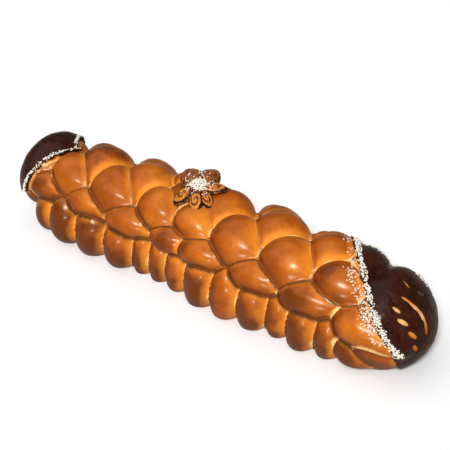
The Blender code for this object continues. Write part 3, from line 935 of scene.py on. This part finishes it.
@dataclass
class LoafCrust:
    """The plaited loaf: its fused swells, uneven and wrinkled, and the fields that its finish reads."""

    swells: list[Swell]
    finish: Finish
    voxel: float = 0.0025
    fillet: float = 0.0024
    uneven: float = 0.001
    wrinkle: float = 0.00022
    groove: float = 0.0038
    groove_reach: float = 0.0085
    groove_round: float = 0.0028
    pale_reach: float = 7.0
    widest: float = 7.5
    strand_gap: float = 0.37
    corner_reach: float = 4.5
    near_band: float = 2.2
    far_band: float = 8.0
    same_tier: float = 0.6
    lower_tier: float = 0.7
    far: float = 30.0
    lit_slit_height: float = 0.105

    def build(self) -> Obj:
        """Makes the piece.

        Returns:
            The dressed loaf.
        """
        loaf = fused("challah_crust", self.swells, 0.0, self.voxel)
        skin = Skin(self.swells, self.fillet)
        points = corners_of(loaf)
        points = skin.settle(points, np.zeros(len(points)))
        order, distances, _ = skin.nearest(points)
        strand = self.own_places(points, order[:, 0]) + self.strand_gap * order[:, :1]
        rise = self.uneven * (ripple(points, 0.075, 3) - 0.6)
        apart = np.hypot(distances[:, 1] - distances[:, 0], self.groove_round)
        rise -= self.groove * np.exp(-apart / self.groove_reach)
        patch = smooth_step(-0.2, 0.7, ripple(points, 0.09, 11))
        rise += self.wrinkle * patch * ripple(strand * np.array((0.1, 1.0, 1.0)), 0.0065, 5)
        move_corners(loaf, skin.settle(points, rise, 2))
        apply_step(loaf, "SMOOTH", factor=0.5, iterations=2)
        cut_below(loaf, 0.0)
        self.store_fields(loaf, Skin(self.swells[:-1], self.fillet))
        smooth_shade(loaf)
        return dress(loaf, self.finish.material(), "crust", "loaf")

    def openness(self) -> Array:
        """Returns how far the crease between every two swells tore open, as a share."""
        tiers = [swell.tier for swell in self.swells[:-1]]
        return np.array([[
            self.lower_tier if Tier.LOWER in (a, b) else self.same_tier if a is b else 1.0 for b in tiers
        ] for a in tiers])

    def torn(self, lift: Array) -> Array:
        """Returns how far a crease opens, by how much more the diving strand faces up than the other; smaller
        under a lip, as painted shade.
        """
        return 2.6 - 1.6 * smooth_step(-0.45, -0.15, lift) - 0.9 * smooth_step(-0.25, 0.2, lift)

    def own_places(self, points: Array, owners: Array) -> Array:
        """Returns each point's place along, across and out of its own swell."""
        local = np.zeros_like(points)
        for i, swell in enumerate(self.swells):
            local[owners == i] = swell.local(points[owners == i])
        return local

    def store_fields(self, loaf: Obj, skin: Skin) -> None:
        """Measures creases and strands, in millimetres, and stores them on the loaf.

        Args:
            loaf: the piece.
            skin: the rule of its swells, without the body under them.
        """
        points = corners_of(loaf)
        distances, outs = skin.measure(points)
        rows = np.arange(len(points))
        owner = distances.argmin(axis=1)
        nearest = distances[rows, owner]
        # Distance to the crease with every other swell, apart for those that lie higher and lower
        between = outs[rows, owner][:, None] - outs
        width = np.linalg.norm(between, axis=2)
        gaps = np.clip((distances - nearest[:, None]) / (width + 0.15) * MM, 0.0, self.far)
        gaps[rows, owner] = self.far
        rank = np.array([swell.tier.value + swell.centre[0] for swell in skin.swells])
        higher = rank[None, :] > rank[owner][:, None]
        dives = np.where(higher, gaps, self.far)
        lips = np.where(higher, self.far, gaps)
        dive = dives.min(axis=1)
        lip = lips.min(axis=1)
        seam = np.minimum(dive, lip)
        # How far the pale dough reaches from the crease, and whether it looks up from under a lip, where
        # painted shadow falls
        lift = between[:, :, 2] / (width + 1e-6)
        opened = self.openness()[owner]
        share = np.exp((dive[:, None] - dives) / 1.5) * higher
        share /= share.sum(axis=1)[:, None] + 1e-9
        below = (share * smooth_step(0.05, 0.55, lift)).sum(axis=1)
        reach = (share * opened * self.torn(lift)).sum(axis=1)
        lower = lips.argmin(axis=1)
        near = 1.0 - smooth_step(2.5, 4.5, seam)
        close = (lip < dive) * near
        below += close * (smooth_step(0.05, 0.55, -lift[rows, lower]) - below)
        reach += close * (opened[rows, lower] * self.torn(-lift[rows, lower]) - reach)
        reach *= self.pale_reach * (0.1 + smooth_step(-0.6, 1.1, ripple(points, 0.045, 21)))
        reach = np.minimum(reach, self.widest)
        third = (np.partition(distances, 2, axis=1)[:, 2] - nearest) * MM
        reach += self.corner_reach * (1.0 - smooth_step(1.0, 9.0, third))
        # The band beside the leaves' rims, and the pale bread that their slits show, with painted light and
        # shade by height
        near_rim = NEAR_RIM.over(points) * MM
        far_rim = FAR_RIM.over(points) * MM
        covered = np.maximum(near_rim, far_rim)
        beside = 1.0 - smooth_step(-1.5, 1.5, -covered - dive)
        band = 0.2 + smooth_step(-0.6, 1.1, ripple(points, 0.03, 23))
        band *= np.where(far_rim > near_rim, self.far_band, self.near_band)
        reach += beside * (band - reach)
        below *= 1.0 - beside
        over = lip < dive
        dive = np.where(over, dive + near * (seam - dive), dive)
        lip = np.where(over, lip, lip + near * (seam - lip))
        dive = np.minimum(dive, np.clip(-covered, 0.0, self.far))
        hidden = covered > -1.0
        # Painted light and shade: the slits' bread is palest near one height and more orange away from it
        bread = 6.5 - 170.0 * np.abs(points[:, 2] - self.lit_slit_height) + 2.0 * ripple(points, 0.016, 41)
        tones = np.random.default_rng(8).uniform(0.0, 1.0, len(skin.swells))
        tones[list(BAKED_AND_LIT)] = list(BAKED_AND_LIT.values())
        local = self.own_places(points, owner)
        tail, _, proud = (local / np.array([swell.half for swell in skin.swells])[owner]).T
        set_fields(
            loaf, seam=np.where(hidden, 0.0, seam), reach=np.where(hidden, bread, reach),
            side=np.where(hidden, 3.0, np.where(over, -seam, seam)), dive=dive, lip=lip,
            below=np.where(hidden, 0.0, below), tail=np.clip(tail, -1.0, 1.0), tone=tones[owner],
            proud=smooth_step(0.35, 1.0, proud), strand=local + self.strand_gap * owner[:, None],
        )


@dataclass
class EndLeaf:
    """A dark leaf of dough over one end: a draped sheet with a torn rim and lens-shaped slits.

    A slit is its azimuth round the end knob, height above the knob's middle, direction on the surface, half
    length and half width.
    """

    name: str
    node: str
    rim: Rim
    slits: tuple[tuple[float, ...], ...]
    swells: list[Swell]
    knob: Swell
    finish: Finish
    gap: float = 0.0002
    top: float = 0.0042
    trim: float = 0.0004
    voxel: float = 0.0013
    region: float = 0.17
    rim_steps: int = 360
    outer: float = 0.22
    inner: float = 0.035
    beyond: float = 0.5
    floor_gap: float = 0.004
    fillet: float = 0.006

    def build(self) -> Obj:
        """Makes the piece.

        Returns:
            The dressed leaf.
        """
        near = [s for s in self.swells if s.centre[0] * self.rim.end > self.region] + [self.swells[-1]]
        leaf = fused(self.name, near, self.top, 0.0018)
        combine(leaf, self.sleeve(), "INTERSECT")
        skin = Skin(near, self.fillet)
        points = corners_of(leaf)
        outside = np.abs(skin.height(points)[0] - self.top) < 0.002
        points[outside] = skin.settle(points[outside], np.full(outside.sum(), self.top - self.trim), 3)
        move_corners(leaf, points)
        combine(leaf, fused("under_leaf", near, self.gap, 0.0024), "DIFFERENCE")
        for slit in self.slits:
            combine(leaf, self.slit(*slit), "DIFFERENCE")
        apply_step(leaf, "REMESH", mode="VOXEL", voxel_size=self.voxel)
        self.keep_largest(leaf)
        points = corners_of(leaf)
        outside = np.abs(skin.height(points)[0] - self.top + self.trim) < 0.0008
        rise = self.top - 0.0005 + 0.0003 * ripple(points, 0.028, 31)
        points[outside] = skin.settle(points[outside], rise[outside], 2)
        move_corners(leaf, points)
        apply_step(leaf, "SMOOTH", factor=0.5, iterations=3)
        cut_below(leaf, self.floor_gap)
        smooth_shade(leaf)
        return dress(leaf, self.finish.material(), "dark_dough", self.node)

    def keep_largest(self, leaf: Obj) -> None:
        """Removes scraps that the cuts left loose."""
        only(leaf)
        bpy.ops.object.mode_set(mode="EDIT")
        bpy.ops.mesh.select_all(action="SELECT")
        bpy.ops.mesh.separate(type="LOOSE")
        bpy.ops.object.mode_set(mode="OBJECT")
        shells = [obj for obj in bpy.context.selected_objects if obj.type == "MESH"]
        largest = max(shells, key=lambda obj: len(obj.data.polygons))
        if largest is not leaf:
            leaf.data = largest.data.copy()
        for shell in shells:
            if shell is not leaf:
                bpy.data.objects.remove(shell)

    def sleeve(self) -> Obj:
        """Returns the space beyond the torn rim as a closed body."""
        points, faces = [], []
        n = self.rim_steps
        last = self.rim.end * self.beyond
        for i in range(n):
            angle = 360.0 * i / n - 180.0
            y, z = sin(radians(angle)), cos(radians(angle))
            edge = self.rim.torn_x(angle)
            for x, r in ((edge, self.inner), (edge, self.outer), (last, self.outer)):
                points.append((x, r * y, SECTION_HEIGHT + r * z))
        hub = len(points)
        points += [(x, 0.0, SECTION_HEIGHT) for x in (self.rim.x(self.rim.corner_angle + 180.0), last)]
        for i in range(n):
            a, b = 3 * i, 3 * ((i + 1) % n)
            faces += [(hub, b, a), (hub + 1, a + 2, b + 2)]
            faces += [(a + j, b + j, b + j + 1, a + j + 1) for j in range(2)]
        return new_piece("sleeve", points, [face[::self.rim.end] for face in faces])

    def slit(self, azimuth: float, height: float, direction: float, length: float, width: float) -> Obj:
        """Returns a lens-shaped cutter that stands through the leaf, from the values of one slit."""
        t, h, turn = radians(azimuth), radians(height), radians(direction)
        unit = Vector((cos(t) * cos(h), sin(t) * cos(h), sin(h)))
        point = Vector([self.knob.centre[i] + self.knob.half[i] * unit[i] for i in range(3)])
        normal = Vector([unit[i] / self.knob.half[i] for i in range(3)]).normalized()
        level = Vector((0.0, 0.0, 1.0)).cross(normal).normalized()
        along = level * cos(turn) + normal.cross(level) * sin(turn)
        axes = np.array([along, normal.cross(along), normal])
        lens = Swell(Tier.CORE, np.array(point), axes, np.array((length, width, 0.012)), 0.0)
        cutter = model_ball("slit", 4)
        move_corners(cutter, lens.place(corners_of(cutter), 0.0))
        return cutter


NEAR_SLITS = (
    (-55, 54, -40, 0.0082, 0.0026), (-42, 38, -40, 0.0112, 0.0034), (-29, 19, -50, 0.0108, 0.0034),
    (-26, 1, -55, 0.0104, 0.0036), (-26, 63, -55, 0.011, 0.0026), (-14, 50, -69, 0.013, 0.0034),
    (-8, 35, -83, 0.014, 0.004), (-8, 20, -100, 0.015, 0.0036), (26, 79, -124, 0.0086, 0.0026),
    (22, 57, -108, 0.0096, 0.0026), (62, 30, -70, 0.008, 0.003), (74, 8, -70, 0.008, 0.003),
)
FAR_SLITS = (
    (180, 60, 90, 0.011, 0.0022), (180, 38, 90, 0.012, 0.0024), (180, 16, 90, 0.012, 0.0022),
    (150, 44, 40, 0.006, 0.0022), (148, 24, 42, 0.006, 0.0022),
    (-150, 44, -40, 0.006, 0.0022), (-148, 24, -42, 0.006, 0.0022),
)


@dataclass
class Scatter:
    """Many small seeds in one piece, each a copy of one model seed."""

    name: str
    finish: Finish
    rng: random.Random
    half: Triple = (0.0015, 0.0009, 0.0007)
    point: float = 0.45
    lean: float = 0.4
    sizes: Pair = (0.85, 1.2)

    def __post_init__(self) -> None:
        """Models the seed: a small ball, pointed at one end."""
        ball = model_ball("model_seed", 2)
        unit = corners_of(ball)
        self.unit = unit * np.array(self.half)
        self.unit[:, 1:] *= (1.0 - self.point * unit[:, :1])
        self.faces = [tuple(face.vertices) for face in ball.data.polygons]
        bpy.data.objects.remove(ball)
        self.points: list[Array] = []
        self.toast: list[float] = []

    def add(self, point: Vector, normal: Vector, lift: float, tilt: float, toast: float) -> None:
        """Lays one seed down.

        Args:
            point: where it lies.
            normal: direction out of the surface there.
            lift: height over the surface.
            tilt: how far it may stand up, from 0 to 1.
            toast: how toasted it is, from 0 to 1.
        """
        turn = self.rng.uniform(0.0, tau)
        heading = Vector((cos(turn), sin(turn), 0.3)) + normal * self.rng.uniform(-tilt, tilt)
        side = normal.cross(heading).normalized()
        lean = normal + side * self.rng.uniform(-self.lean, self.lean)
        lean += heading * self.rng.uniform(-tilt, tilt)
        lean.normalize()
        side = lean.cross(heading).normalized()
        size = self.rng.uniform(*self.sizes)
        axes = np.array([side.cross(lean), side, lean])
        self.points.append(self.unit * size @ axes + np.array(point + normal * (self.half[2] * 0.7 + lift)))
        self.toast.append(toast)

    def build(self, *nodes: str) -> Obj:
        """Returns the seeds, dressed, in place of some CAD nodes."""
        count = len(self.unit)
        faces = [tuple(i + count * k for i in face) for k in range(len(self.points)) for face in self.faces]
        seeds = new_piece(self.name, np.concatenate(self.points), faces)
        set_fields(seeds, toast=np.repeat(np.array(self.toast), count))
        smooth_shade(seeds, 80.0)
        return dress(seeds, self.finish.material(), "white_seed", *nodes)


@dataclass
class RimSeeds:
    """The seed along a leaf's rim and on the bread beside it."""

    rim: Rim
    scatter: Scatter
    outside: float = 0.22
    floor_gap: float = 0.006

    def band(
        self, tree: BVHTree, count: int, angles: Pair, band: Pair,
        lift: float = 0.001, toast: Pair = (-0.2, 0.15),
    ) -> None:
        """Strews seeds in a band beside the rim.

        Args:
            tree: the surface that they lie on.
            count: how many.
            angles: lowest and highest angle from the rim's corner.
            band: nearest and farthest distance from the rim, towards the end.
            lift: most height over the surface.
            toast: least and most toasting.
        """
        rng = self.scatter.rng
        middle = (band[0] + band[1]) / 2
        spread = (band[1] - band[0]) / 2
        for _ in range(count):
            angle = self.rim.corner_angle + rng.uniform(*angles)
            off = middle + spread * (rng.uniform(-1.0, 1.0) + rng.uniform(-0.45, 0.45))
            outward = Vector((0.0, sin(radians(angle)), cos(radians(angle))))
            inside = Vector((self.rim.x(angle) + self.rim.end * off, 0.0, SECTION_HEIGHT))
            point, normal, _, _ = tree.ray_cast(inside + outward * self.outside, -outward)
            if point is not None and point.z > self.floor_gap:
                self.scatter.add(point, normal, rng.uniform(0.0, lift), 0.4, rng.uniform(*toast))


@dataclass(frozen=True)
class Petal:
    """One rolled petal: direction round the flower, half sizes, droop, lift, and how dark it baked."""

    angle: float
    half: Triple
    droop: float
    lift: float
    burnt: float


@dataclass
class Flower:
    """The flower of rolled dough with its heap of white seed, resting on the crown."""

    finish: Finish
    seed_finish: Finish
    centre: Pair = (-0.005, -0.006)
    tilt: float = 10.0
    radius: float = 0.024
    flatness: float = 0.7
    belly: float = 0.12
    coils: float = 2.1
    ridge: float = 0.16
    heap_radius: float = 0.0155
    heap_rise: float = 0.011
    heap_lift: float = 0.01
    petals: tuple[Petal, ...] = (
        Petal(-122, (0.0185, 0.0125, 0.0058), 30, 0.006, 0.25),
        Petal(-67, (0.017, 0.0105, 0.0058), 34, 0.004, 0.0),
        Petal(-27, (0.0165, 0.009, 0.0058), 24, 0.004, 0.2),
        Petal(24, (0.018, 0.01, 0.006), 2, 0.009, 0.3),
        Petal(84, (0.018, 0.016, 0.012), 10, 0.0086, 1.1),
        Petal(150, (0.019, 0.0175, 0.0125), 12, 0.009, 0.9),
    )

    def middle(self) -> Vector:
        """Returns the flower's centre on the crown."""
        x, y = self.centre
        return Vector((x, y, SECTION_HEIGHT + girth(x) * SECTION_HALF_HEIGHT * cos(radians(self.tilt))))

    def petal_frame(self, petal: Petal) -> Matrix:
        """Returns where a petal lies; its long side points away from the flower's centre."""
        t, droop, tilt = radians(petal.angle), radians(petal.droop), radians(self.tilt)
        up = Vector((0.0, -sin(tilt), cos(tilt)))
        back = Vector((0.0, cos(tilt), sin(tilt)))
        outward = Vector((1.0, 0.0, 0.0)) * cos(t) + back * sin(t)
        along = outward * cos(droop) - up * sin(droop)
        raised = up * cos(droop) + outward * sin(droop)
        frame = Matrix((along, raised.cross(along), raised)).transposed().to_4x4()
        frame.translation = self.middle() + outward * self.radius + up * petal.lift
        return frame

    def petal(self, petal: Petal, number: int) -> Obj:
        """Makes one petal.

        Args:
            petal: its sizes.
            number: its place in the order round the flower, from 1.

        Returns:
            The dressed petal.
        """
        bpy.ops.object.select_all(action="DESELECT")
        bpy.ops.mesh.primitive_uv_sphere_add(segments=112, ring_count=72, location=(0.0, 0.0, 0.0))
        piece = bpy.context.object
        piece.name = f"flower_petal_{number}"
        x, y, z = corners_of(piece).T
        rho = np.sqrt(x * x + y * y)
        turn = np.arctan2(y, x)
        tip = np.exp(-(turn / 0.42) ** 2)
        grow = (1.0 + self.belly * (1.0 - np.abs(z))) * (1.0 + 0.16 * tip * rho)
        coil = rho * (1.0 + 0.1 * tip) * self.coils + turn / tau
        near = np.abs(coil - np.round(coil))
        ridge = np.cos(coil * tau) * smooth_step(0.12, 0.3, rho)
        top = np.sign(z) * np.abs(z) ** self.flatness + self.ridge * ridge * (z > 0) * (1.0 - rho ** 6)
        local = np.stack([petal.half[0] * x * grow, petal.half[1] * y * grow, petal.half[2] * top], 1)
        matrix = np.array(self.petal_frame(petal))
        move_corners(piece, local @ matrix[:3, :3].T + matrix[:3, 3])
        line = (1.15 - near / 0.26) * (z > -0.1)
        line = np.clip(np.maximum(line, 1.3 - np.abs(rho - 0.93) / 0.12), -0.5, 1.5)
        set_fields(piece, line=line * (1.0 - 0.5 * min(petal.burnt, 1.0)), burnt=np.full(len(x), petal.burnt))
        smooth_shade(piece, 75.0)
        return dress(piece, self.finish.material(), "rolled_dough", f"petal_{number}")

    def build(self) -> None:
        """Makes the petals, then the heap of seed on its mound, with a few seeds fallen on each petal."""
        petals = [self.petal(petal, number) for number, petal in enumerate(self.petals, 1)]
        mound = model_ball("flower_mound", 5)
        unit = corners_of(mound)
        half = np.array((self.heap_radius, self.heap_radius, self.heap_rise))
        points = unit * half * (1.0 + 0.06 * ripple(unit, 0.9, 2)[:, None])
        centre = self.middle() + Vector((0.0, 0.0, self.heap_lift))
        move_corners(mound, points * 0.93 + np.array(centre))
        set_fields(mound, line=np.full(len(points), -0.5), burnt=np.full(len(points), 0.7))
        smooth_shade(mound)
        dress(mound, self.finish.material(), "rolled_dough", "flower_heap")
        scatter = Scatter("flower_seeds", self.seed_finish, random.Random(9))
        self.strew(scatter, surface_tree(mound), 420, self.heap_radius * 0.95, 0.0024)
        for piece in petals:
            self.strew(scatter, surface_tree(piece), 60, self.heap_radius * 1.5, 0.0006)
        scatter.build("flower_heap")

    def strew(self, scatter: Scatter, tree: BVHTree, count: int, radius: float, lift: float) -> None:
        """Drops seeds straight down round the flower's centre.

        Args:
            scatter: collects them.
            tree: the surface that they fall on.
            count: how many are dropped.
            radius: how far from the centre.
            lift: most height over the surface.
        """
        rng = scatter.rng
        for _ in range(count):
            t = rng.uniform(0.0, tau)
            r = radius * sqrt(rng.uniform(0.0, 1.0))
            start = Vector((self.centre[0] + r * cos(t), self.centre[1] + r * sin(t), 0.3))
            point, normal, _, _ = tree.ray_cast(start, Vector((0.0, 0.0, -1.0)))
            if point is not None and normal.z > 0.15:
                scatter.add(point, normal, rng.uniform(0.0, lift), 0.6, rng.uniform(-0.2, 0.25))


@dataclass(frozen=True)
class Studio:
    """Pale floor, soft lights, and the camera at the photograph's angle."""

    azimuth: float = 35.0
    elevation: float = 37.0
    distance: float = 2.1
    view: float = 19.5
    target: Triple = (0.04, 0.0, 0.07)
    shift_y: float = 0.04
    sensor: float = 36.0
    surroundings: float = 0.09
    floor_size: float = 14.0
    floor_height: float = -0.0004
    lamp_distance: float = 4.0

    def aim(self, name: str, data: bpy.types.ID, azimuth: float, elevation: float, distance: float) -> Obj:
        """Places a camera or light round the target, looking at it.

        Args:
            name: its name.
            data: camera or light data.
            azimuth: angle round the loaf.
            elevation: angle above the floor.
            distance: how far from the target.

        Returns:
            The object.
        """
        a, e = radians(azimuth), radians(elevation)
        away = Vector((sin(a) * cos(e), -cos(a) * cos(e), sin(e)))
        obj = new_object(name, data)
        obj.location = Vector(self.target) + away * distance
        obj.rotation_mode = "QUATERNION"
        obj.rotation_quaternion = (-away).to_track_quat("-Z", "Y")
        return obj

    def lamp(self, name: str, azimuth: float, elevation: float, spread: float, power: float) -> None:
        """Adds one far softbox."""
        light = bpy.data.lights.new(name, "SUN")
        light.angle = radians(spread)
        light.energy = power
        self.aim(name, light, azimuth, elevation, self.lamp_distance)

    def build(self, floor_finish: Finish) -> None:
        """Makes floor, lights, surroundings and camera.

        Args:
            floor_finish: finish of the floor.
        """
        bpy.ops.object.select_all(action="DESELECT")
        bpy.ops.mesh.primitive_plane_add(size=self.floor_size, location=(0.0, 0.0, self.floor_height))
        floor = bpy.context.object
        floor.name = "studio_floor"
        bpy.ops.object.transform_apply(location=True, rotation=True, scale=True)
        floor.data.materials.append(floor_finish.material())
        self.lamp("key", 22, 46, 14.0, 2.8)
        self.lamp("low", 20, 4, 10.0, 0.7)
        self.lamp("overhead", -70, 68, 80.0, 1.1)
        scene = bpy.context.scene
        scene.world = bpy.data.worlds.new("surroundings")
        scene.world.use_nodes = True
        background = scene.world.node_tree.nodes["Background"]
        background.inputs["Color"].default_value = (1.0, 1.0, 1.0, 1.0)
        background.inputs["Strength"].default_value = self.surroundings
        data = bpy.data.cameras.new("camera")
        data.sensor_width = self.sensor
        data.lens = self.sensor / 2 / tan(radians(self.view / 2))
        data.shift_y = self.shift_y
        scene.camera = self.aim("camera", data, self.azimuth, self.elevation, self.distance)
        scene.view_settings.view_transform = "Standard"


def main() -> None:
    """Builds the studio and every piece in order."""
    logging.basicConfig(level=logging.INFO, format="%(name)s %(message)s", stream=sys.stdout)
    looks = Finishes()
    Studio().build(looks.floor)
    plait = Plait()
    swells = plait.swells()
    crust = LoafCrust(swells, looks.crust).build()
    near = EndLeaf("near_leaf", "leaf_near", NEAR_RIM, NEAR_SLITS, swells, plait.knob(), looks.dark).build()
    far = EndLeaf("far_leaf", "leaf_far", FAR_RIM, FAR_SLITS, swells, plait.far_end(), looks.dark).build()
    seeds = RimSeeds(NEAR_RIM, Scatter("near_leaf_seeds", looks.seed, random.Random(4)))
    leaf_tree = surface_tree(near)
    crust_tree = surface_tree(crust)
    seeds.band(leaf_tree, 1000, (-112, 112), (0.0015, 0.012), 0.0014)
    seeds.band(leaf_tree, 130, (5, 26), (0.004, 0.05))
    seeds.band(leaf_tree, 50, (10, 27), (0.08, 0.108))
    seeds.band(crust_tree, 240, (-100, -40), (-0.024, -0.001), 0.0, (0.1, 0.7))
    seeds.band(crust_tree, 80, (-45, 60), (-0.016, -0.001), 0.0, (0.1, 0.7))
    seeds.scatter.build("leaf_near", "loaf")
    seeds = RimSeeds(FAR_RIM, Scatter("far_leaf_seeds", looks.seed, random.Random(5)))
    seeds.band(surface_tree(far), 420, (-100, 100), (0.001, 0.006))
    seeds.scatter.build("leaf_far")
    Flower(looks.rolled, looks.seed).build()


if __name__ == "__main__":
    main()
